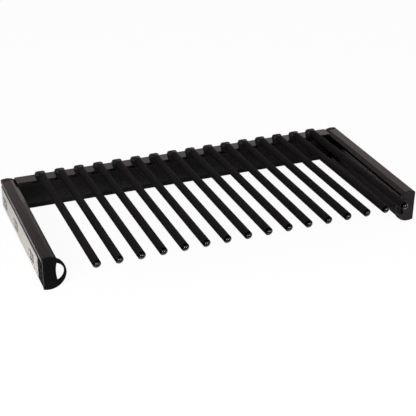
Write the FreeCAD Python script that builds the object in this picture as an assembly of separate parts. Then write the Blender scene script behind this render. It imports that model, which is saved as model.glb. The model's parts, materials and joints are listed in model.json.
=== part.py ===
import FreeCAD, Part
import math
import os

# Pull-out trouser rack for a wardrobe, in millimetres.
# X runs across the rack, Y from the front to the back and Z up.
# The origin is the middle of the whole rack's footprint, at its lowest point.

os.makedirs("parts", exist_ok=True)
V = FreeCAD.Vector

# The rack as a whole
rack_width = 762.0
rack_depth = 345.0
foot_drop = 2.6
overrun = 1.0

# Rails: one family of extrusions for the sides and the back
rail_height = 60.0
rail_width = 28.0
rail_flat = 19.0
bevel_drop = 4.0
bevel_lip = 1.2
rail_wall = 2.2
lip_height = 7.5
lip_wall = 2.0
groove_height = 3.8
groove_depth = 4.5
scoop_height = 40.0
scoop_depth = 2.8
scoop_land = 1.0
edge_round = 0.8
foot_round = 3.5
rear_rail_width = 29.0
rear_bevel = 0.6
rear_lip = 1.8
rear_groove_height = 3.4
rear_groove_depth = 3.6

# Trouser rods with their end plugs
rod_count = 16
rod_pitch = 40.64
rod_radius = 7.7
rod_wall = 1.2
rod_reach = 83.5
rod_tilt_degrees = 1.4
plug_bevel = 1.8
plug_dome_radius = 5.6
plug_dome_rise = 4.2
plug_spigot = 12.0
spigot_slack = 0.1
spigot_rib = 2.4

# Rod holders, hooked over the front top edge of the rear rail
holder_set_in = 2.5
holder_leg = 12.8
holder_seat = 2.1
holder_radius = 8.0
holder_round = 4.8
holder_end_shares = ((0.58, 0.0), (0.89, 0.36), (1.0, 1.0))
holder_spigot = 18.0
foot_inset = 3.0
foot_back = 6.4
hook_wall = 1.4
hook_reach = 2.6
hook_height = 1.4
peg_radius = 1.6
peg_length = 4.0
peg_end_gap = 0.3
peg_back = 4.2
peg_slack = 0.05

# Front caps with their finger pulls
cap_plate = 5.0
cap_radius = 32.6
cap_axis_in = 11.0
cap_foot_flat = 0.6
cap_edge = 1.2
cap_side_edge = 0.8
pull_radius = 19.2
pull_axis_in = 20.3
pull_axis_drop = 29.0
pull_cut_in = 23.5
pull_edge = 1.0
pull_corner = 3.0
cap_spigot = 20.0
cap_spigot_slack = 0.2
cap_block_length = 33.0
cap_block_inset = 0.3
cap_screw_set = 9.0
cap_screw_drop = 22.0

# Rear caps
rear_cap_plate = 4.0
rear_cap_edge = 1.4
rear_cap_spigot = 4.0

# Ball bearing slides: three members on each side
slide_length = 305.0
slide_height = 45.7
slide_thickness = 12.7
slide_sheet = 1.2
race_sheet = 1.4
slide_round = 1.6
slide_gap = 0.5
slide_floor_gap = 1.4
member_setback = 3.3
cabinet_flange = 9.8
cabinet_lip = 1.5
middle_web_in = 2.4
middle_flange_end = 10.2
drawer_flange_tip = 4.6
ball_radius = 2.0
race_slack = 0.08
race_depth = 0.35
outer_ball_in = 5.2
inner_ball_in = 7.2
balls_in_row = 3
cage_sheet = 0.6
inner_cage_sheet = 0.5
cage_length = 130.0
cage_setback = 86.5
outer_cage_in = 1.5
inner_cage_in = 3.85
outer_cage_flange = 7.8
inner_cage_flange = 9.4
cage_hole_slack = 0.06
cage_window_width = 12.0
cage_window_length = 26.0

# Holes in the cabinet members, on the furniture maker's 32 mm grid
mount_hole_radius = 2.3
mount_first_hole = 70.0
mount_grid = 32.0
mount_end_margin = 10.0

# Tongues cut free on three sides in front of the holes, each with a hole at its tip and its root
tongue_root_step = 6.0
tongue_cut_length = 29.0
tongue_cut_height = 19.4
tongue_cut_width = 3.0
tongue_cut_round = 4.0
tongue_drop = 3.2
tongue_root_hole_radius = 2.2
tongue_root_hole_step = 4.5
tongue_tip_hole_radius = 1.9
tongue_tip_hole_step = 22.0

# Rear buffers in the cabinet members
buffer_length = 3.0
buffer_height = 16.0
buffer_depth = 8.4

# Release levers on the drawer members
lever_sheet = 1.1
lever_in = 10.2
lever_pivot_set = 72.0
lever_length = 50.0
lever_width = 7.0
lever_tab = 11.0
lever_pin_radius = 1.95
lever_hole_slack = 0.05
lever_head_radius = 3.2
lever_head = 0.8
lever_head_gap = 0.05

# Screws
slide_screw_radius = 2.0
slide_screw_head = 3.6
slide_screw_head_height = 2.2
slide_screw_length = 5.2
slide_screw_shares = (0.34, 0.62, 0.93)
cap_screw_radius = 2.0
cap_screw_head = 4.0
cap_screw_head_height = 2.6
cap_screw_seat = 8.5
cap_screw_bore_slack = 0.4
screw_slack = 0.2
screw_fit = 0.05
corner_screw_radius = 2.5
corner_screw_head = 4.5
corner_screw_head_height = 2.8
corner_screw_length = 20.0
corner_screw_step = 25.0
corner_access_radius = 5.5
socket_share = 0.5
socket_depth_share = 0.55

# Corner brackets inside the ends of the rear rail
bracket_length = 40.0
bracket_slack = 0.2
bracket_pocket_wall = 5.0
bracket_end_wall = 24.0

# Places that follow from the sizes above
front_y = (rod_reach - rack_depth) / 2
rear_y = front_y + rack_depth
outer_x = -rack_width / 2
rail_bottom = foot_drop
rail_top = foot_drop + rail_height
rail_front = front_y + cap_plate
rail_rear = rear_y - rear_cap_plate
groove_top = rail_top - bevel_drop - bevel_lip
groove_bottom = groove_top - groove_height
box_top = groove_bottom - rail_wall
box_bottom = rail_bottom + rail_wall
web_in = slide_thickness
box_in = web_in + rail_wall
box_far = rail_width - scoop_depth - rail_wall
rear_rail_front = rear_y - rear_rail_width
rod_tilt = math.radians(rod_tilt_degrees)
rod_rear_y = rear_rail_front + holder_set_in
rod_rear_z = rail_top + holder_seat + holder_radius
rear_groove_top = rail_top - rear_lip
rear_groove_bottom = rear_groove_top - rear_groove_height
slide_middle_z = rail_bottom + slide_floor_gap + slide_height / 2
slide_front = front_y + cap_plate + cap_block_length + slide_gap
slide_rear = slide_front + slide_length
member_rear = slide_rear - member_setback
flange_out = slide_height / 2
flange_in = flange_out - slide_sheet
outer_ball_z = flange_in + race_depth - ball_radius
middle_flange_out = outer_ball_z - ball_radius + race_depth
middle_flange_in = middle_flange_out - race_sheet
inner_ball_z = middle_flange_in + race_depth - ball_radius
drawer_flange_out = inner_ball_z - ball_radius + race_depth
drawer_flange_in = drawer_flange_out - race_sheet
cage_front = slide_front + cage_setback

# The last mount hole is the last on the grid that the slide has room for, and the middle one
# stands half way, or half a step behind it
mount_last_step_count = int((slide_length - mount_first_hole - mount_end_margin) // mount_grid)
mount_middle_step_count = (mount_last_step_count + 1) // 2


def block(x0, x1, y0, y1, z0, z1):
    return Part.makeBox(x1 - x0, y1 - y0, z1 - z0, V(x0, y0, z0))


def rod_along(axis, radius, length, x, y, z):
    return Part.makeCylinder(radius, length, V(x, y, z), axis)


def along_x(radius, x0, x1, y, z):
    return rod_along(V(1, 0, 0), radius, x1 - x0, x0, y, z)


def along_y(radius, y0, y1, x, z):
    return rod_along(V(0, 1, 0), radius, y1 - y0, x, y0, z)


def along_z(radius, z0, z1, x, y):
    return rod_along(V(0, 0, 1), radius, z1 - z0, x, y, z0)


def profile(start, steps):
    """A closed face across Y. A step is the next point, or an arc's middle and end points."""
    edges = []
    here = V(start[0], 0, start[1])
    for step in steps + [start]:
        bowed = isinstance(step[0], tuple)
        end = step[1] if bowed else step
        there = V(end[0], 0, end[1])
        if bowed:
            middle = V(step[0][0], 0, step[0][1])
            edges.append(Part.Arc(here, middle, there).toShape())
        elif here.distanceToPoint(there) > 0:
            edges.append(Part.LineSegment(here, there).toShape())
        here = there
    return Part.Face(Part.Wire(edges))


def extrude_y(face, y0, y1):
    solid = face.extrude(V(0, y1 - y0, 0))
    solid.translate(V(0, y0, 0))
    return solid


def mirrored(shape):
    return shape.mirror(V(0, 0, 0), V(1, 0, 0))


def to_side(shape, side):
    """Parts are drawn on the left. The right-hand ones are their mirror images."""
    return shape if side == "left" else mirrored(shape)


def x_in(inward):
    """Place on the left-hand side, by its distance in from the outer face."""
    return outer_x + inward


def write(name, shapes):
    shape = shapes if isinstance(shapes, Part.Shape) else Part.makeCompound(shapes)
    shape.exportStep("parts/" + name + ".step")
    print(name, len(shape.Solids), shape.isValid(), round(shape.Volume, 1))


def long_edges_at(shape, corners, tolerance):
    """Edges along Y whose section corner is one of those given as (x, z)."""
    found = []
    for edge in shape.Edges:
        a = edge.Vertexes[0].Point
        b = edge.Vertexes[-1].Point
        along = abs(a.x - b.x) < tolerance and abs(a.z - b.z) < tolerance
        if along and any(abs(a.x - x) < tolerance and abs(a.z - z) < tolerance for x, z in corners):
            found.append(edge)
    return found


def edges_along_x(shape, y, tolerance):
    """Edges along X that lie at the given place along Y."""
    found = []
    for edge in shape.Edges:
        a = edge.Vertexes[0].Point
        b = edge.Vertexes[-1].Point
        if abs(a.x - b.x) > tolerance and abs(a.y - y) < tolerance and abs(b.y - y) < tolerance:
            found.append(edge)
    return found


def side_rail():
    scoop_top = groove_bottom - scoop_land
    scoop_bottom = scoop_top - scoop_height
    scoop_middle = (x_in(rail_width - scoop_depth), (scoop_top + scoop_bottom) / 2)
    start = (x_in(0), rail_top)
    outline = [
        (x_in(rail_flat), rail_top),
        (x_in(rail_width), rail_top - bevel_drop),
        (x_in(rail_width), groove_top),
        (x_in(rail_width - groove_depth), groove_top),
        (x_in(rail_width - groove_depth), groove_bottom),
        (x_in(rail_width), groove_bottom),
        (x_in(rail_width), scoop_top),
        (scoop_middle, (x_in(rail_width), scoop_bottom)),
        (x_in(rail_width), rail_bottom),
        (x_in(web_in), rail_bottom),
        (x_in(web_in), rail_top - rail_wall),
        (x_in(lip_wall), rail_top - rail_wall),
        (x_in(lip_wall), rail_top - lip_height),
        (x_in(0), rail_top - lip_height),
    ]
    rail = extrude_y(profile(start, outline), rail_front, rail_rear)
    corners = [(x_in(0), rail_top), (x_in(rail_width), rail_top - bevel_drop)]
    rail = rail.makeFillet(edge_round, long_edges_at(rail, corners, edge_round / 2))
    corners = [(x_in(rail_width), rail_bottom)]
    rail = rail.makeFillet(foot_round, long_edges_at(rail, corners, edge_round / 2))
    y0 = rail_front - overrun
    y1 = rail_rear + overrun
    rail = rail.cut(block(x_in(box_in), x_in(box_far), y0, y1, box_bottom, box_top))
    upper_far = x_in(rail_width - groove_depth - rail_wall)
    upper_top = rail_top - rail_wall
    rail = rail.cut(block(x_in(box_in), upper_far, y0, y1, groove_bottom, upper_top))
    web0 = x_in(web_in - overrun)
    web1 = x_in(box_in + overrun)
    for y in slide_screw_places():
        rail = rail.cut(along_x(slide_screw_radius + screw_fit, web0, web1, y, slide_middle_z))
    bore = cap_screw_radius + screw_slack
    rail = rail.cut(along_x(bore, web0, web1, cap_screw_y(), cap_screw_z()))
    wall0 = x_in(box_far - overrun)
    wall1 = x_in(rail_width + overrun)
    bore = corner_screw_radius + screw_slack
    for z in corner_screw_places():
        rail = rail.cut(along_x(corner_access_radius, web0, web1, corner_screw_y(), z))
        rail = rail.cut(along_x(bore, wall0, wall1, corner_screw_y(), z))
    return rail


def rear_rail():
    front = rear_rail_front
    scoop_top = groove_bottom - scoop_land
    scoop_bottom = scoop_top - scoop_height
    scoop_middle = (front + scoop_depth, (scoop_top + scoop_bottom) / 2)
    start = (front + rear_bevel, rail_top)
    outline = [
        (rear_y, rail_top),
        (rear_y, rail_bottom),
        (front, rail_bottom),
        (front, scoop_bottom),
        (scoop_middle, (front, scoop_top)),
        (front, rear_groove_bottom),
        (front + rear_groove_depth, rear_groove_bottom),
        (front + rear_groove_depth, rear_groove_top),
        (front, rear_groove_top),
        (front, rail_top - rear_bevel),
    ]
    section = profile(start, outline)
    # The section is drawn across Y, so it is turned to run across X.
    section.rotate(V(0, 0, 0), V(0, 0, 1), 90)
    length = rack_width - 2 * rail_width
    rail = section.extrude(V(length, 0, 0))
    rail.translate(V(-length / 2, 0, 0))
    x0 = -length / 2 - overrun
    x1 = length / 2 + overrun
    inner_front = front + scoop_depth + rail_wall
    inner_rear = rear_y - rail_wall
    rail = rail.cut(block(x0, x1, inner_front, inner_rear, box_bottom, box_top))
    upper_front = front + groove_depth + rail_wall
    rail = rail.cut(block(x0, x1, upper_front, inner_rear, groove_bottom, rail_top - rail_wall))
    for x in rod_places():
        rail = rail.cut(along_z(peg_radius + peg_slack, rail_top - peg_length - peg_end_gap,
                                rail_top + overrun, peg_x(x), peg_y()))
    return rail


def rod_places():
    """The holders reach further to the left, so their rods sit a little right of the middle."""
    first = (holder_leg - holder_radius - rod_pitch * (rod_count - 1)) / 2
    return [first + rod_pitch * k for k in range(rod_count)]


def tilted(shape, x):
    """Rod pieces are drawn along -Y from the rod's rear end, then tilted up to the front."""
    shape.rotate(V(0, 0, 0), V(1, 0, 0), -rod_tilt_degrees)
    shape.translate(V(x, rod_rear_y, rod_rear_z))
    return shape


def rod_length():
    crown = plug_bevel + plug_dome_rise
    return (rod_rear_y - front_y + rod_reach) / math.cos(rod_tilt) - crown


def rod(x):
    start = holder_radius
    end = rod_length()
    tube = along_y(rod_radius, -end, -start, 0, 0)
    bore = along_y(rod_radius - rod_wall, -end - overrun, -start + overrun, 0, 0)
    return tilted(tube.cut(bore), x)


def ribbed_spigot(y0, y1):
    """A cross of two ribs whose corners bear on the inside of the tube."""
    reach = math.sqrt((rod_radius - rod_wall - spigot_slack) ** 2 - (spigot_rib / 2) ** 2)
    half = spigot_rib / 2
    return block(-reach, reach, y0, y1, -half, half).fuse(block(-half, half, y0, y1, -reach, reach))


def end_plug(x):
    """A bevelled plug with a smaller dome in its middle, turned about the rod's own axis."""
    end = -rod_length()
    foot = end - plug_bevel
    # The dome is part of a sphere, so its radius follows from its width and rise.
    sphere = (plug_dome_radius ** 2 + plug_dome_rise ** 2) / (2 * plug_dome_rise)
    middle = foot - plug_dome_rise + sphere
    half_turn = math.asin(plug_dome_radius / sphere) / 2
    shoulder = V(sphere * math.sin(half_turn), middle - sphere * math.cos(half_turn), 0)
    points = [V(0, foot - plug_dome_rise, 0), V(plug_dome_radius, foot, 0), V(rod_radius, end, 0),
              V(0, end, 0)]
    edges = [Part.Arc(points[0], shoulder, points[1]).toShape()]
    for a, b in zip(points[1:], points[2:] + points[:1]):
        edges.append(Part.LineSegment(a, b).toShape())
    plug = Part.Face(Part.Wire(edges)).revolve(V(0, 0, 0), V(0, 1, 0), 360)
    return tilted(plug.fuse(ribbed_spigot(end, end + plug_spigot)).removeSplitter(), x)


def peg_x(x):
    return x - holder_leg / 2


def peg_y():
    return rod_rear_y + peg_back


def holder_barrel(x0, x1):
    """A barrel along X whose ends draw in over two cones. A share is of the radius, then of the round."""
    left = [V(x0 + along * holder_round, 0, out * holder_radius) for out, along in holder_end_shares]
    right = [V(x1 - along * holder_round, 0, out * holder_radius) for out, along in holder_end_shares]
    points = [V(x0, 0, 0)] + left + right[::-1] + [V(x1, 0, 0)]
    barrel = Part.Face(Part.makePolygon(points + points[:1])).revolve(V(0, 0, 0), V(1, 0, 0), 360)
    barrel.translate(V(0, rod_rear_y, rod_rear_z))
    return barrel


def rod_holder(x):
    """A barrel across the rod's rear end, with a neck, a foot, a hook and a locating peg."""
    barrel = holder_barrel(x - holder_leg, x + holder_radius)
    neck = tilted(along_y(rod_radius, -holder_radius, 0, 0, 0), x)
    spigot = tilted(ribbed_spigot(-holder_radius - holder_spigot, 0), x)
    x0 = x - holder_leg + foot_inset
    x1 = x + holder_radius - foot_inset
    foot_top = rod_rear_z - holder_radius / 2
    foot = block(x0, x1, rear_rail_front - hook_wall, rod_rear_y + foot_back, rail_top, foot_top)
    hook_bottom = rear_groove_top - hook_height
    hook_face = block(x0, x1, rear_rail_front - hook_wall, rear_rail_front, hook_bottom, foot_top)
    hook_nose = block(x0, x1, rear_rail_front - hook_wall, rear_rail_front + hook_reach,
                      hook_bottom, rear_groove_top)
    peg = along_z(peg_radius, rail_top - peg_length, rail_top + overrun, peg_x(x), peg_y())
    clip = foot.fuse(hook_face).fuse(hook_nose).removeSplitter()
    return barrel.fuse(neck).fuse(spigot).fuse(clip).fuse(peg)


def cap_middle_z():
    return cap_radius - cap_foot_flat


def circles_on_y(shape, y, tolerance):
    circles = [e for e in shape.Edges if isinstance(e.Curve, Part.Circle)]
    return [e for e in circles if abs(e.CenterOfMass.y - y) < tolerance]


def cap_plate_solid(y0, y1, outer_y, edge, inward_end):
    """A round plate with a rounded outer edge, cut flat at the rack's side and at its foot."""
    disc = along_y(cap_radius, y0, y1, x_in(cap_axis_in), cap_middle_z())
    disc = disc.makeFillet(edge, circles_on_y(disc, outer_y, edge / 2))
    keep = block(x_in(0), x_in(inward_end), y0, y1, 0, cap_middle_z() + cap_radius + overrun)
    return disc.common(keep)


def pull_hole(y0, y1):
    """The finger opening: a round hole cut off straight beside the rail, with soft corners."""
    z = rail_top - pull_axis_drop
    disc = along_y(pull_radius, y0, y1, x_in(pull_axis_in), z)
    x0 = x_in(pull_cut_in)
    x1 = x_in(pull_axis_in + pull_radius + overrun)
    hole = disc.common(block(x0, x1, y0, y1, z - pull_radius, z + pull_radius))
    rise = math.sqrt(pull_radius ** 2 - (pull_cut_in - pull_axis_in) ** 2)
    corners = [(x0, z - rise), (x0, z + rise)]
    return hole.makeFillet(pull_corner, long_edges_at(hole, corners, pull_edge / 2))


def edges_on_y(shape, y, tolerance):
    found = []
    for edge in shape.Edges:
        if all(abs(v.Point.y - y) < tolerance for v in edge.Vertexes):
            if abs(edge.CenterOfMass.y - y) < tolerance:
                found.append(edge)
    return found


def cap_screw_y():
    return front_y + cap_plate + cap_screw_set


def cap_screw_z():
    return rail_top - cap_screw_drop


def front_cap():
    y1 = front_y + cap_plate
    inward_end = cap_axis_in + cap_radius + overrun
    plate = cap_plate_solid(front_y, y1, front_y, cap_edge, inward_end)
    plate = plate.cut(pull_hole(front_y - overrun, y1 + overrun))
    inner = x_in(pull_axis_in + pull_radius) + overrun
    rim = [e for e in edges_on_y(plate, front_y, cap_edge / 2)
           if e.BoundBox.XMin > x_in(pull_cut_in) - overrun and e.BoundBox.XMax < inner]
    rim = [e for e in rim if e.BoundBox.ZMin > rail_bottom + overrun]
    plate = plate.makeFillet(pull_edge, rim)
    upright = [e for e in edges_on_y(plate, front_y, cap_edge / 2)
               if e.BoundBox.XMax < x_in(0) + cap_edge / 2]
    plate = plate.makeFillet(cap_side_edge, upright)
    inset = cap_spigot_slack
    spigot = block(x_in(box_in + inset), x_in(box_far - inset), y1 - overrun, y1 + cap_spigot,
                   box_bottom + inset, box_top - inset)
    top = slide_middle_z + slide_height / 2
    bottom = slide_middle_z - slide_height / 2
    side = block(x_in(cap_block_inset), x_in(web_in), y1 - overrun, y1 + cap_block_length,
                 bottom, top)
    cap = plate.fuse(side).fuse(spigot)
    bore = along_x(cap_screw_head + cap_screw_bore_slack, x_in(-overrun), x_in(cap_screw_seat),
                   cap_screw_y(), cap_screw_z())
    hole = along_x(cap_screw_radius, x_in(0), x_in(box_far), cap_screw_y(), cap_screw_z())
    return cap.cut(bore).cut(hole)


def rear_cap():
    """A plate over the rail's end, open below the top lip so that the slide can pass."""
    y0 = rear_y - rear_cap_plate
    plate = cap_plate_solid(y0, rear_y, rear_y, rear_cap_edge, rail_width)
    plate = plate.cut(block(x_in(-overrun), x_in(web_in), y0 - overrun, rear_y + overrun,
                            -overrun, rail_top - lip_height))
    inset = cap_spigot_slack
    spigot = block(x_in(box_in + inset), x_in(box_far - inset), y0 - rear_cap_spigot,
                   y0 + overrun, box_bottom + inset, box_top - inset)
    return plate.fuse(spigot)


def channel(x0, x1, web, flange, half_out, half_in, open_to_right, y0, y1):
    """A C section along Y about the slide's middle, with rounded outer corners."""
    z = slide_middle_z
    outer = block(x0, x1, y0, y1, z - half_out, z + half_out)
    back = x0 if open_to_right else x1
    corners = [(back, z - half_out), (back, z + half_out)]
    outer = outer.makeFillet(min(slide_round, web), long_edges_at(outer, corners, web / 4))
    if open_to_right:
        inner = block(x0 + web, x1 + overrun, y0 - overrun, y1 + overrun, z - half_in, z + half_in)
    else:
        inner = block(x0 - overrun, x1 - web, y0 - overrun, y1 + overrun, z - half_in, z + half_in)
    return outer.cut(inner)


def races(shape, x, half, y0, y1):
    for sign in (-1, 1):
        z = slide_middle_z + sign * half
        shape = shape.cut(along_y(ball_radius + race_slack, y0 - overrun, y1 + overrun, x, z))
    return shape


def mount_holes():
    first = slide_front + mount_first_hole
    return [first, first + mount_grid * mount_middle_step_count,
            first + mount_grid * mount_last_step_count]


def tongue_cut(x0, x1, root):
    """What frees a tongue: a U open at its root, and a hole near each of the tongue's ends."""
    z = slide_middle_z - tongue_drop
    tip = root - tongue_cut_length
    half = tongue_cut_height / 2
    outer = block(x0, x1, tip, root, z - half, z + half)
    outer = outer.makeFillet(tongue_cut_round, edges_along_x(outer, tip, tongue_cut_width / 2))
    tip = tip + tongue_cut_width
    half = half - tongue_cut_width
    tongue = block(x0, x1, tip, root, z - half, z + half)
    tongue_round = tongue_cut_round - tongue_cut_width
    tongue = tongue.makeFillet(tongue_round, edges_along_x(tongue, tip, tongue_cut_width / 2))
    cut = outer.cut(tongue)
    root_hole = along_x(tongue_root_hole_radius, x0, x1, root - tongue_root_hole_step, z)
    tip_hole = along_x(tongue_tip_hole_radius, x0, x1, root - tongue_tip_hole_step, z)
    return cut.fuse(root_hole).fuse(tip_hole)


def cabinet_member():
    y0 = slide_front
    y1 = slide_rear
    x0 = x_in(0)
    member = channel(x0, x_in(cabinet_flange), slide_sheet, slide_sheet,
                     flange_out, flange_in, True, y0, y1)
    for sign in (-1, 1):
        a = slide_middle_z + sign * flange_out
        b = slide_middle_z + sign * (flange_in - cabinet_lip)
        lip = block(x_in(cabinet_flange - slide_sheet), x_in(cabinet_flange), y0, y1,
                    min(a, b), max(a, b))
        member = member.fuse(lip)
    member = races(member.removeSplitter(), x_in(outer_ball_in), outer_ball_z, y0, y1)
    web0 = x0 - overrun
    web1 = x_in(slide_sheet) + overrun
    for y in mount_holes():
        member = member.cut(along_x(mount_hole_radius, web0, web1, y, slide_middle_z))
        member = member.cut(tongue_cut(web0, web1, y - tongue_root_step))
    return member


def middle_member():
    y0 = slide_front + member_setback
    member = channel(x_in(middle_web_in), x_in(middle_flange_end), slide_sheet, race_sheet,
                     middle_flange_out, middle_flange_in, True, y0, member_rear)
    member = races(member, x_in(outer_ball_in), outer_ball_z, y0, member_rear)
    return races(member, x_in(inner_ball_in), inner_ball_z, y0, member_rear)


def drawer_member():
    y0 = slide_front
    member = channel(x_in(drawer_flange_tip), x_in(slide_thickness), slide_sheet, race_sheet,
                     drawer_flange_out, drawer_flange_in, False, y0, member_rear)
    member = races(member, x_in(inner_ball_in), inner_ball_z, y0, member_rear)
    web0 = x_in(slide_thickness - slide_sheet - overrun)
    web1 = x_in(slide_thickness + overrun)
    for y in slide_screw_places():
        member = member.cut(along_x(slide_screw_radius + screw_fit, web0, web1, y, slide_middle_z))
    pin_in = lever_in - lever_head_gap
    pin = along_x(lever_pin_radius, x_in(pin_in - lever_head), x_in(slide_thickness - slide_sheet / 2),
                  lever_pivot_y(), slide_middle_z)
    head = along_x(lever_head_radius, x_in(pin_in - lever_head), x_in(pin_in),
                   lever_pivot_y(), slide_middle_z)
    return member.fuse(pin).fuse(head)


def cage(web_x, sheet, flange_x, half, ball_x):
    """A bent strip with a window row in its web, round holes for the balls, and the balls."""
    y0 = cage_front
    y1 = cage_front + cage_length
    outer = half + sheet / 2
    inner = half - sheet / 2
    strip = channel(x_in(web_x), x_in(flange_x), sheet, sheet, outer, inner, True, y0, y1)
    pitch = cage_length / balls_in_row
    for k in range(balls_in_row):
        middle = y0 + pitch * (k + 0.5)
        window = block(x_in(web_x - sheet), x_in(web_x + 2 * sheet),
                       middle - cage_window_length / 2, middle + cage_window_length / 2,
                       slide_middle_z - cage_window_width / 2,
                       slide_middle_z + cage_window_width / 2)
        strip = strip.cut(window)
    pieces = []
    for k in range(balls_in_row):
        middle = y0 + pitch * (k + 0.5)
        for sign in (-1, 1):
            z = slide_middle_z + sign * half
            hole = along_z(ball_radius + cage_hole_slack, z - sheet, z + sheet,
                           x_in(ball_x), middle)
            strip = strip.cut(hole)
            pieces.append(Part.makeSphere(ball_radius, V(x_in(ball_x), middle, z)))
    return [strip] + pieces


def outer_cage():
    return cage(outer_cage_in, cage_sheet, outer_cage_flange, outer_ball_z, outer_ball_in)


def inner_cage():
    return cage(inner_cage_in, inner_cage_sheet, inner_cage_flange, inner_ball_z, inner_ball_in)


def rear_buffer():
    y1 = slide_rear
    y0 = y1 - buffer_length
    z = slide_middle_z
    return block(x_in(slide_sheet), x_in(slide_sheet + buffer_depth), y0, y1,
                 z - buffer_height / 2, z + buffer_height / 2)


def lever_pivot_y():
    return slide_front + lever_pivot_set


def release_lever():
    """A flat tongue on a pin, with a wider thumb tab at its free front end."""
    x0 = x_in(lever_in)
    x1 = x_in(lever_in + lever_sheet)
    y = lever_pivot_y()
    tip = y - lever_length
    z = slide_middle_z
    lever = along_x(lever_width / 2, x0, x1, y, z)
    lever = lever.fuse(block(x0, x1, tip, y, z - lever_width / 2, z + lever_width / 2))
    tab = along_x(lever_tab / 2, x0, x1, tip, z)
    lever = lever.fuse(tab)
    hole = along_x(lever_pin_radius + lever_hole_slack, x0 - overrun, x1 + overrun, y, z)
    return lever.removeSplitter().cut(hole)


def slide_screw_places():
    return [slide_front + slide_length * share for share in slide_screw_shares]


def screw(radius, head_radius, head_height, length, x, y, z):
    """A socket-head screw along X. Its head sits against x, on the outer side of it."""
    head = along_x(head_radius, x - head_height, x, y, z)
    depth = head_height * socket_depth_share
    socket = Part.makePolygon([
        V(0, head_radius * socket_share * math.cos(math.radians(a)),
          head_radius * socket_share * math.sin(math.radians(a))) for a in range(0, 361, 60)])
    recess = Part.Face(socket).extrude(V(depth + overrun, 0, 0))
    recess.translate(V(x - head_height - overrun, y, z))
    return head.fuse(along_x(radius, x, x + length, y, z)).cut(recess)


def slide_screws(side):
    x = x_in(slide_thickness - slide_sheet)
    return [to_side(screw(slide_screw_radius, slide_screw_head, slide_screw_head_height,
                          slide_screw_length, x, y, slide_middle_z), side)
            for y in slide_screw_places()]


def cap_screw(side):
    x = x_in(cap_screw_seat)
    length = box_far - cap_screw_seat - rail_wall
    return to_side(screw(cap_screw_radius, cap_screw_head, cap_screw_head_height, length,
                         x, cap_screw_y(), cap_screw_z()), side)


def corner_screw_y():
    return (rear_rail_front + scoop_depth + rear_y) / 2


def corner_screw_places():
    middle = (box_top + box_bottom) / 2
    return [middle - corner_screw_step / 2, middle + corner_screw_step / 2]


def corner_screws(side):
    x = x_in(box_far)
    return [to_side(screw(corner_screw_radius, corner_screw_head, corner_screw_head_height,
                          corner_screw_length, x, corner_screw_y(), z), side)
            for z in corner_screw_places()]


def corner_bracket(side):
    """A cast block that fills the end of the rear rail and takes the corner screws."""
    y0 = rear_rail_front + scoop_depth + rail_wall + bracket_slack
    y1 = rear_y - rail_wall - bracket_slack
    z0 = box_bottom
    z1 = box_top - bracket_slack
    x0 = x_in(rail_width)
    body = block(x0, x0 + bracket_length, y0, y1, z0, z1)
    wall = bracket_pocket_wall
    pocket = block(x0 + bracket_end_wall, x0 + bracket_length + overrun, y0 + wall, y1 - wall,
                   z0 + wall, z1 - wall)
    body = body.cut(pocket)
    for z in corner_screw_places():
        body = body.cut(along_x(corner_screw_radius, x0 - overrun, x0 + bracket_end_wall + overrun,
                                corner_screw_y(), z))
    return to_side(body, side)


def build():
    sides = ("left", "right")
    write("rear_rail", rear_rail())
    for side in sides:
        write(side + "_side_rail", to_side(side_rail(), side))
        write(side + "_front_cap", to_side(front_cap(), side))
        write(side + "_rear_cap", to_side(rear_cap(), side))
        write(side + "_cabinet_member", to_side(cabinet_member(), side))
        write(side + "_middle_member", to_side(middle_member(), side))
        write(side + "_drawer_member", to_side(drawer_member(), side))
        write(side + "_outer_ball_cage", [to_side(s, side) for s in outer_cage()])
        write(side + "_inner_ball_cage", [to_side(s, side) for s in inner_cage()])
        write(side + "_rear_buffer", to_side(rear_buffer(), side))
        write(side + "_release_lever", to_side(release_lever(), side))
    for k, x in enumerate(rod_places(), 1):
        write("rod_%02d" % k, rod(x))
        write("rod_holder_%02d" % k, rod_holder(x))
    write("rod_end_plugs", [end_plug(x) for x in rod_places()])
    write("corner_brackets", [corner_bracket(side) for side in sides])
    write("corner_screws", [s for side in sides for s in corner_screws(side)])
    write("slide_screws", [s for side in sides for s in slide_screws(side)])
    write("front_cap_screws", [cap_screw(side) for side in sides])


build()
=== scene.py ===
import json
import math
from functools import reduce

import bpy
from mathutils import Matrix, Vector


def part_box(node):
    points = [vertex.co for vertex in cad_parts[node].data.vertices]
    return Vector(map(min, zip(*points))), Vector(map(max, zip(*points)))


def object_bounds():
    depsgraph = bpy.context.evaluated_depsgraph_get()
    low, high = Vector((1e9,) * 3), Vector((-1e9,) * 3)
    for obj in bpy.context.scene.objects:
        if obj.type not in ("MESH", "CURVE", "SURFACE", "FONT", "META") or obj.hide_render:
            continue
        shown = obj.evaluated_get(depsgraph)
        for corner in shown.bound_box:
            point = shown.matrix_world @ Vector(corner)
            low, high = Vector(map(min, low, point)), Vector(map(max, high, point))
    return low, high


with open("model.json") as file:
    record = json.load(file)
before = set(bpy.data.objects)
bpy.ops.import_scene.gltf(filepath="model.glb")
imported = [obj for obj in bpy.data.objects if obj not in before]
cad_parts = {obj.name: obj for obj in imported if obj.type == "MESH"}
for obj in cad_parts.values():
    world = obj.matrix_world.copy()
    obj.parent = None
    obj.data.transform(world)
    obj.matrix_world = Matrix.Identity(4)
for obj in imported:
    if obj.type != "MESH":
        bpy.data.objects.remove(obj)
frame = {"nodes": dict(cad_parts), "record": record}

cad_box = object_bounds()
nodes = frame["nodes"]
scene = bpy.context.scene

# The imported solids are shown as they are. This script adds their finishes, a floor, the light and
# the camera

# The camera, solved from straight edges in the photograph, in metres and degrees
camera_place = (-0.72243, -1.75719, 1.03131)
camera_yaw = math.radians(21.982)
camera_pitch = math.radians(27.738)
camera_roll = math.radians(0.589)
camera_near = 0.05
camera_far = 60.0

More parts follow.
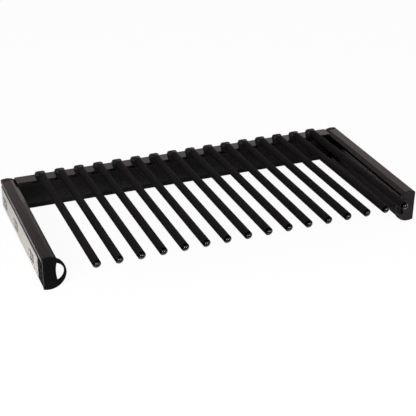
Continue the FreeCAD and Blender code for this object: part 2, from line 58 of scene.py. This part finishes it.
# The image in pixels, and Blender's sensor in millimetres
image_size = 416
focal_pixels = 1076.34
sensor_width = 36.0

# Two soft boxes either side of the camera, each with a gleam that only gloss sees, in metres and watts
lamp_places = {"left": (-1.8, -1.35, 1.2), "right": (0.45, -2.2, 1.15)}
lamp_target = (0, 0, 0)
soft_box_size = 0.9
soft_box_power = 38
gleam_size = 0.8
gleam_power = 60

# Floor, backdrop and the room's own light
floor_size = 12.0
floor_colour = (0.96, 0.96, 0.96, 1.0)
floor_roughness = 0.9
floor_gloss = 0.1
floor_white_share = 0.94
backdrop_colour = (1.0, 1.0, 1.0, 1.0)
room_colour = (0.86, 0.83, 0.83, 1.0)
room_strength = 0.45

# The levels that gloss shows of the studio, by height from 0 at the horizon to 1 straight up:
# bright low down and overhead, and dark between them
mirrored_by_height = (
    (0.0, 1.0), (0.28, 1.5), (0.36, 1.95), (0.395, 1.35), (0.43, 0.2), (0.46, 0.03),
    (0.53, 0.03), (0.6, 1.5), (1.0, 1.7))
mirrored_top = max(level for height, level in mirrored_by_height)

# These bands rise towards the right, between these X parts of the direction
rise_start = 0.2
rise_end = 0.45
rise_height = 0.03

# In front, between these Y parts of the direction, the levels fall to this share of themselves
front_start = -0.15
front_end = -0.6
front_share = 0.1

# In front, between these places along Y, the floor turns dark to gloss
dark_floor_start = -0.2
dark_floor_end = -0.4
dark_floor_level = 0.1

# Blender's noise lies mostly between these
noise_low = 0.3
noise_high = 0.7


class Tree:
    """A node tree under construction, with short ways to add its nodes."""

    def __init__(self, tree):
        self.tree = tree

    def node(self, kind, **values):
        new = self.tree.nodes.new(kind)
        for key, value in values.items():
            setattr(new, key, value)
        return new

    def link(self, output, socket):
        self.tree.links.new(output, socket)

    def parts(self, kind):
        """The X, Y and Z of one kind of texture coordinate, which is a place or a direction."""
        place = self.node("ShaderNodeTexCoord")
        split = self.node("ShaderNodeSeparateXYZ")
        self.link(place.outputs[kind], split.inputs[0])
        return split.outputs

    def ramp(self, source, start, end, low=0.0, high=1.0):
        """Low up to the start, high from the end on, and a straight slope between them."""
        spread = self.node("ShaderNodeMapRange")
        spread.inputs["From Min"].default_value = start
        spread.inputs["From Max"].default_value = end
        spread.inputs["To Min"].default_value = low
        spread.inputs["To Max"].default_value = high
        self.link(source, spread.inputs["Value"])
        return spread.outputs["Result"]

    def maths(self, operation, source, other=None):
        """One operation on a socket, with a second socket or a number where it takes one."""
        step = self.node("ShaderNodeMath", operation=operation)
        self.link(source, step.inputs[0])
        if isinstance(other, bpy.types.NodeSocket):
            self.link(other, step.inputs[1])
        elif other is not None:
            step.inputs[1].default_value = other
        return step.outputs[0]

    def times(self, source, other):
        return self.maths("MULTIPLY", source, other)

    def minus(self, source, other):
        return self.maths("SUBTRACT", source, other)

    def larger(self, source, other):
        return self.maths("MAXIMUM", source, other)

    def absolute(self, source):
        return self.maths("ABSOLUTE", source)

    def over(self, source, limit):
        """1 where the source is over the limit, otherwise 0."""
        return self.maths("GREATER_THAN", source, limit)

    def under(self, source, limit):
        """1 where the source is under the limit, otherwise 0."""
        return self.maths("LESS_THAN", source, limit)

    def within(self, source, middle, reach):
        """1 where the source is less than the reach away from the middle, otherwise 0."""
        return self.under(self.absolute(self.minus(source, middle)), reach)

    def light_path(self, kind):
        """1 for the named kind of ray, otherwise 0."""
        return self.node("ShaderNodeLightPath").outputs[kind]

    def glow(self, kind, colour, strength=1.0):
        """An emission or a background of one colour."""
        light = self.node(kind)
        light.inputs["Color"].default_value = colour
        light.inputs["Strength"].default_value = strength
        return light.outputs[0]

    def mix(self, share, first, second):
        """The first shader where the share is 0, and the second where it is 1."""
        both = self.node("ShaderNodeMixShader")
        self.link(share, both.inputs["Fac"])
        self.link(first, both.inputs[1])
        self.link(second, both.inputs[2])
        return both.outputs[0]


class Surface(Tree):
    """A material under construction, with its Principled shader and short ways to fill its sockets."""

    def __init__(self, name, metallic=0.0):
        self.material = bpy.data.materials.new(name)
        self.material.use_nodes = True
        super().__init__(self.material.node_tree)
        self.shader = self.tree.nodes["Principled BSDF"]
        self.set("Metallic", metallic)
        self.bump_input = None

    def set(self, socket, value):
        self.shader.inputs[socket].default_value = value

    def noise(self, size, stretch=(1, 1, 1), detail=3.0):
        """Noise whose features are about size metres across, drawn out along an axis by stretch."""
        place = self.node("ShaderNodeTexCoord")
        scale = self.node("ShaderNodeMapping")
        scale.inputs["Scale"].default_value = [1 / (size * longer) for longer in stretch]
        noise = self.node("ShaderNodeTexNoise")
        noise.inputs["Scale"].default_value = 1.0
        noise.inputs["Detail"].default_value = detail
        self.link(place.outputs["Object"], scale.inputs["Vector"])
        self.link(scale.outputs["Vector"], noise.inputs["Vector"])
        return noise.outputs["Fac"]

    def colours(self, noise, low, high):
        """The noise blends two base colours."""
        mix = self.node("ShaderNodeMix", data_type="RGBA")
        mix.inputs["A"].default_value = (*low, 1.0)
        mix.inputs["B"].default_value = (*high, 1.0)
        self.link(self.ramp(noise, noise_low, noise_high), mix.inputs["Factor"])
        self.link(mix.outputs["Result"], self.shader.inputs["Base Color"])

    def recolour(self, mask, colour):
        """Where the mask is 1, the base colour gives way to the one given here."""
        before = self.shader.inputs["Base Color"].links[0].from_socket
        mix = self.node("ShaderNodeMix", data_type="RGBA")
        mix.inputs["B"].default_value = (*colour, 1.0)
        self.link(before, mix.inputs["A"])
        self.link(mask, mix.inputs["Factor"])
        self.link(mix.outputs["Result"], self.shader.inputs["Base Color"])

    def roughness(self, noise, low, high):
        self.link(self.ramp(noise, noise_low, noise_high, low, high), self.shader.inputs["Roughness"])

    def bump(self, noise, height):
        """Each bump lies on the one before it."""
        bump = self.node("ShaderNodeBump")
        bump.inputs["Distance"].default_value = height
        bump.inputs["Strength"].default_value = 1.0
        self.link(noise, bump.inputs["Height"])
        if self.bump_input is not None:
            self.link(self.bump_input, bump.inputs["Normal"])
        self.bump_input = bump.outputs["Normal"]
        self.link(self.bump_input, self.shader.inputs["Normal"])


def grey(level):
    return (level, level, level, 1.0)


def scaled(colour, share):
    return [share * part for part in colour]


def camera():
    """A level camera is turned right by the yaw, tipped down by the pitch and then rolled."""
    yaw, pitch, roll = camera_yaw, camera_pitch, camera_roll
    forward = Vector((math.sin(yaw) * math.cos(pitch), math.cos(yaw) * math.cos(pitch), -math.sin(pitch)))
    level_right = Vector((math.cos(yaw), -math.sin(yaw), 0))
    level_up = level_right.cross(forward)
    right = math.cos(roll) * level_right + math.sin(roll) * level_up
    up = -math.sin(roll) * level_right + math.cos(roll) * level_up
    data = bpy.data.cameras.new("camera")
    data.sensor_width = sensor_width
    data.lens = focal_pixels * sensor_width / image_size
    data.clip_start = camera_near
    data.clip_end = camera_far
    eye = bpy.data.objects.new("camera", data)
    turn = Matrix((right, up, -forward)).transposed().to_4x4()
    eye.matrix_world = Matrix.Translation(Vector(camera_place)) @ turn
    scene.collection.objects.link(eye)
    scene.camera = eye


def area_lamp(name, place, size, power, gloss_only=False):
    data = bpy.data.lights.new(name, "AREA")
    data.shape = "RECTANGLE"
    data.size = size
    data.size_y = size
    data.energy = power
    lamp = bpy.data.objects.new(name, data)
    lamp.visible_diffuse = not gloss_only
    lamp.location = place
    aim = Vector(lamp_target) - Vector(place)
    lamp.rotation_euler = aim.to_track_quat("-Z", "Y").to_euler()
    scene.collection.objects.link(lamp)


def lamps():
    for side, place in lamp_places.items():
        area_lamp(side + "_lamp", place, soft_box_size, soft_box_power)
        area_lamp(side + "_gleam", place, gleam_size, gleam_power, gloss_only=True)


def mirrored_studio(world):
    """The studio as gloss shows it, by the direction looked in."""
    facing = world.parts("Generated")
    levels = world.node("ShaderNodeValToRGB")
    points = levels.color_ramp.elements
    for height, level in mirrored_by_height:
        # A new ramp has its first and last point already
        if height == 0:
            point = points[0]
        elif height == 1:
            point = points[-1]
        else:
            point = points.new(height)
        point.color = grey(level / mirrored_top)
    rise = world.ramp(facing["X"], rise_start, rise_end, 0.0, rise_height)
    world.link(world.minus(facing["Z"], rise), levels.inputs["Fac"])
    strength = world.ramp(facing["Y"], front_end, front_start, front_share * mirrored_top, mirrored_top)
    light = world.node("ShaderNodeBackground")
    world.link(levels.outputs["Color"], light.inputs["Color"])
    world.link(strength, light.inputs["Strength"])
    return light.outputs[0]


def backdrop():
    """White to the camera, the studio to gloss, and a plain room to everything else."""
    scene.world = bpy.data.worlds.new("studio")
    scene.world.use_nodes = True
    world = Tree(scene.world.node_tree)
    world.tree.nodes.clear()
    room = world.glow("ShaderNodeBackground", room_colour, room_strength)
    white = world.glow("ShaderNodeBackground", backdrop_colour)
    gloss = world.larger(world.light_path("Is Glossy Ray"), world.light_path("Is Transmission Ray"))
    lighting = world.mix(gloss, room, mirrored_studio(world))
    seen = world.mix(world.light_path("Is Camera Ray"), lighting, white)
    world.link(seen, world.node("ShaderNodeOutputWorld").inputs["Surface"])


def floor_finish():
    """Pale, nearly white to the camera, and dark in front to gloss."""
    surface = Surface("floor")
    surface.set("Base Color", floor_colour)
    surface.set("Roughness", floor_roughness)
    surface.set("Specular IOR Level", floor_gloss)
    dark = surface.glow("ShaderNodeEmission", grey(dark_floor_level))
    white = surface.glow("ShaderNodeEmission", backdrop_colour)
    in_front = surface.ramp(surface.parts("Object")["Y"], dark_floor_start, dark_floor_end)
    dark_share = surface.times(in_front, surface.light_path("Is Glossy Ray"))
    white_share = surface.times(surface.light_path("Is Camera Ray"), floor_white_share)
    lit = surface.mix(dark_share, surface.shader.outputs[0], dark)
    seen = surface.mix(white_share, lit, white)
    surface.link(seen, surface.tree.nodes["Material Output"].inputs["Surface"])
    return surface.material


def floor():
    """A flat floor that takes the rack's shadow."""
    mesh = bpy.data.meshes.new("floor")
    half = floor_size / 2
    corners = [(-half, -half, 0), (half, -half, 0), (half, half, 0), (-half, half, 0)]
    mesh.from_pydata(corners, [], [(0, 1, 2, 3)])
    mesh.materials.append(floor_finish())
    ground = bpy.data.objects.new("floor", mesh)
    scene.collection.objects.link(ground)


# Rails
rail_dark_cloud = (0.0076, 0.0073, 0.0075)
rail_light_cloud = (0.0110, 0.0105, 0.0107)
rail_edge_tint = (0.96, 0.895, 0.885, 1.0)
die_line_stretch = 90
# The rear rail's bronze is painted this many times lighter, as painted light for the brighter light on
# its top
rear_rail_painted_light_share = 2.0


def rail_finish(name, along, lightness=1.0):
    """Near-black bronze anodised extrusion: satin, with faint die lines along axis 0 or 1. A lightness
    over 1 is painted light: the same bronze painted lighter.
    """
    long_way = [1, 1, 1]
    long_way[along] = die_line_stretch
    surface = Surface(name, metallic=1.0)
    surface.set("Specular Tint", rail_edge_tint)
    dark, light = scaled(rail_dark_cloud, lightness), scaled(rail_light_cloud, lightness)
    surface.colours(surface.noise(size=0.09, detail=4), dark, light)
    surface.roughness(surface.noise(size=0.0012, stretch=long_way), low=0.24, high=0.32)
    surface.bump(surface.noise(size=0.0009, stretch=long_way), height=0.00002)
    surface.bump(surface.noise(size=0.0004, detail=2), height=0.00001)
    return surface.material


def side_rail_finish():
    return rail_finish("rail_bronze", along=1)


def rear_rail_finish():
    # The same bronze as the side rails, painted lighter: painted light
    return rail_finish("rear_rail_bronze", along=0, lightness=rear_rail_painted_light_share)


def rod_finish():
    """A thin matt black non-slip coat over the steel tube."""
    surface = Surface("rod_black")
    surface.set("Specular IOR Level", 0.02)
    surface.colours(surface.noise(size=0.05), low=(0.0046, 0.0037, 0.0039), high=(0.0068, 0.0058, 0.0060))
    surface.roughness(surface.noise(size=0.004), low=0.60, high=0.72)
    surface.bump(surface.noise(size=0.0009), height=0.00004)
    return surface.material


# Moulded plastic varies this much around its colour and its roughness
moulded_dark_share = 0.88
moulded_light_share = 1.14
moulded_smoother = 0.04
moulded_rougher = 0.05


def moulded(name, colour, roughness, gloss=0.08, grain=0.0006, height=0.00003):
    surface = Surface(name)
    surface.set("Specular IOR Level", gloss)
    dark, light = scaled(colour, moulded_dark_share), scaled(colour, moulded_light_share)
    surface.colours(surface.noise(size=0.03), dark, light)
    smoothest, roughest = roughness - moulded_smoother, roughness + moulded_rougher
    surface.roughness(surface.noise(size=0.002), smoothest, roughest)
    surface.bump(surface.noise(size=grain), height)
    return surface


def holder_finish():
    """Satin black with a trace of blue."""
    return moulded("holder_plastic", (0.0050, 0.0054, 0.0068), roughness=0.32, gloss=0.09).material


def rear_cap_finish():
    """A dark grey, lighter than the front caps."""
    return moulded("rear_cap_plastic", (0.045, 0.042, 0.042), roughness=0.35, gloss=0.2).material


def buffer_finish():
    return moulded("buffer_rubber", (0.02, 0.02, 0.02), roughness=0.7).material


def lever_finish():
    return moulded("lever_plastic", (0.02, 0.02, 0.021), roughness=0.4).material


# The end plugs' domes reach this far back from their tips, and blend into the rims at the end of it
dome_length = 0.0024
rim_blend = 0.0004


def plug_finish():
    """Glossy black domes, whose rims are dull and darker."""
    surface = moulded(
        "plug_plastic", (0.002, 0.002, 0.002), roughness=0.12, gloss=0.5, grain=0.003, height=0.00001)
    lowest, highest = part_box("rod_end_plugs")
    rim = lowest[1] + dome_length
    dullness = surface.ramp(surface.parts("Object")["Y"], rim - rim_blend, rim)
    surface.link(dullness, surface.shader.inputs["Metallic"])
    return surface.material


# The rack's sides stand this far from its middle
half_width = (cad_box[1][0] - cad_box[0][0]) / 2


def near_side(surface, reach):
    """1 at the rack's left and right sides and within reach of them, otherwise 0."""
    return surface.over(surface.absolute(surface.parts("Object")["X"]), half_width - reach)


# The front caps' upright edges at the rack's sides carry a painted highlight
painted_highlight_reach = 0.0016
painted_highlight_slant = 0.25
painted_highlight_colour = (0.10, 0.095, 0.095)


def edged_cap(name, colour):
    """Dull black whose upright front edge at the rack's side carries a painted highlight."""
    surface = moulded(name, colour, roughness=0.5, gloss=0.008)
    facing = surface.parts("Normal")
    turned = surface.times(surface.absolute(facing["X"]), surface.absolute(facing["Y"]))
    slanted = surface.over(turned, painted_highlight_slant)
    # A painted highlight on the slanted faces of the upright edge at the rack's side
    surface.recolour(surface.times(slanted, near_side(surface, painted_highlight_reach)), painted_highlight_colour)
    return surface.material


def left_cap_finish():
    return edged_cap("left_cap_plastic", (0.0045, 0.0042, 0.0043))


def right_cap_finish():
    """The left front cap's plastic painted lighter: painted light for the brighter light on the right
    cap's face.
    """
    return edged_cap("right_cap_plastic", (0.0175, 0.0161, 0.0165))


def zinc(name):
    """Zinc plated strip: a warm grey with a fine cloudy spangle and faint rolling lines."""
    surface = Surface(name, metallic=1.0)
    spangle = surface.noise(size=0.0035, stretch=(1, 2, 1), detail=5)
    surface.colours(spangle, low=(0.47, 0.455, 0.42), high=(0.66, 0.645, 0.60))
    surface.roughness(surface.noise(size=0.0018, stretch=(1, 6, 1), detail=5), low=0.28, high=0.44)
    surface.bump(surface.noise(size=0.0007, stretch=(1, 40, 1)), height=0.00001)
    return surface


def slide_finish():
    return zinc("slide_steel").material


# The cabinet members' punched web and rolled edges. The walls of the punched holes and cuts are dark,
# partly bare cut steel and partly painted shade, and the rolled edges carry painted shade. Heights are
# from the web's middle line
web_reach = 0.0016
punched_half_height = 0.018
punched_facing = 0.5
cut_steel_and_shade_colour = (0.008, 0.0075, 0.007)
rolled_edge_shade_start = 0.0200
rolled_edge_shade_end = 0.0222

# The web's three stamped tongues, by their middles along Y, which carry painted shade
tongue_places = (-0.04275, 0.08525, 0.18125)
tongue_half_length = 0.0145
tongue_half_height = 0.0097
tongue_drop = 0.0032
tongue_shade_share = 0.55
tongue_shade_colour = (0.16, 0.155, 0.145)


def stamped_tongues(surface, middle):
    """1 on the three tongues, otherwise 0."""
    spot = surface.parts("Object")
    in_length = [surface.within(spot["Y"], place, tongue_half_length) for place in tongue_places]
    in_height = surface.within(spot["Z"], middle - tongue_drop, tongue_half_height)
    return surface.times(reduce(surface.larger, in_length), in_height)


def punched_edges(surface, middle):
    """1 on the walls of the holes and cuts in the web, otherwise 0."""
    across = surface.under(surface.absolute(surface.parts("Normal")["X"]), punched_facing)
    in_height = surface.within(surface.parts("Object")["Z"], middle, punched_half_height)
    return surface.times(across, in_height)


def cabinet_finish():
    """The cabinet members' zinc. Its punched edges are dark, partly bare cut steel and partly painted
    shade; its rolled edges and its tongues carry painted shade.
    """
    surface = zinc("cabinet_member_zinc")
    lowest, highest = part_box("left_cabinet_member")
    middle = (lowest[2] + highest[2]) / 2
    web = near_side(surface, web_reach)
    tongues = surface.times(stamped_tongues(surface, middle), web)
    # Painted shade on the tongues
    surface.recolour(surface.times(tongues, tongue_shade_share), tongue_shade_colour)
    punched = surface.times(punched_edges(surface, middle), web)
    height = surface.absolute(surface.minus(surface.parts("Object")["Z"], middle))
    rolled = surface.ramp(height, rolled_edge_shade_start, rolled_edge_shade_end)
    # Painted shade along the rolled edges; on the hole walls, bare cut steel and painted shade
    surface.recolour(surface.larger(punched, rolled), cut_steel_and_shade_colour)
    return surface.material


# Plain metal varies this much around its colour and its roughness
metal_dark_share = 0.85
metal_light_share = 1.1
metal_smoother = 0.06
metal_rougher = 0.08


def plain_metal(name, colour, roughness):
    surface = Surface(name, metallic=1.0)
    dark, light = scaled(colour, metal_dark_share), scaled(colour, metal_light_share)
    surface.colours(surface.noise(size=0.006), dark, light)
    surface.roughness(surface.noise(size=0.001), roughness - metal_smoother, roughness + metal_rougher)
    surface.bump(surface.noise(size=0.0005), height=0.00001)
    return surface


def cage_finish():
    return plain_metal("cage_steel", (0.5, 0.5, 0.48), roughness=0.34).material


def screw_finish():
    return plain_metal("screw_steel", (0.55, 0.55, 0.56), roughness=0.3).material


def bracket_finish():
    """Rougher than the steel."""
    return plain_metal("bracket_alloy", (0.5, 0.5, 0.5), roughness=0.5).material


def finishes_by_slot():
    """Every slot but the caps', which have a finish each or in pairs."""
    return {
        "rail_bronze": side_rail_finish(),
        "rod_black": rod_finish(),
        "holder_plastic": holder_finish(),
        "plug_plastic": plug_finish(),
        "slide_steel": slide_finish(),
        "cage_steel": cage_finish(),
        "screw_steel": screw_finish(),
        "buffer_rubber": buffer_finish(),
        "lever_plastic": lever_finish(),
        "bracket_alloy": bracket_finish(),
    }


def finishes_by_node():
    """The pieces that look different from the rest of their material slot."""
    cabinet = cabinet_finish()
    rear_cap = rear_cap_finish()
    return {
        "left_front_cap": left_cap_finish(),
        "right_front_cap": right_cap_finish(),
        "left_rear_cap": rear_cap,
        "right_rear_cap": rear_cap,
        "rear_rail": rear_rail_finish(),
        "left_cabinet_member": cabinet,
        "right_cabinet_member": cabinet,
    }


def dress_nodes():
    """Each node gets its own finish, or else its material slot's."""
    by_slot, by_node = finishes_by_slot(), finishes_by_node()
    for row in frame["record"]["subparts"]:
        obj = nodes[row["node"]]
        finish = by_node.get(row["node"]) or by_slot[row["material_slot"]]
        if not obj.data.materials:
            obj.data.materials.append(finish)
        for slot in obj.material_slots:
            slot.material = finish


scene.view_settings.view_transform = "Standard"
camera()
lamps()
backdrop()
floor()
dress_nodes()
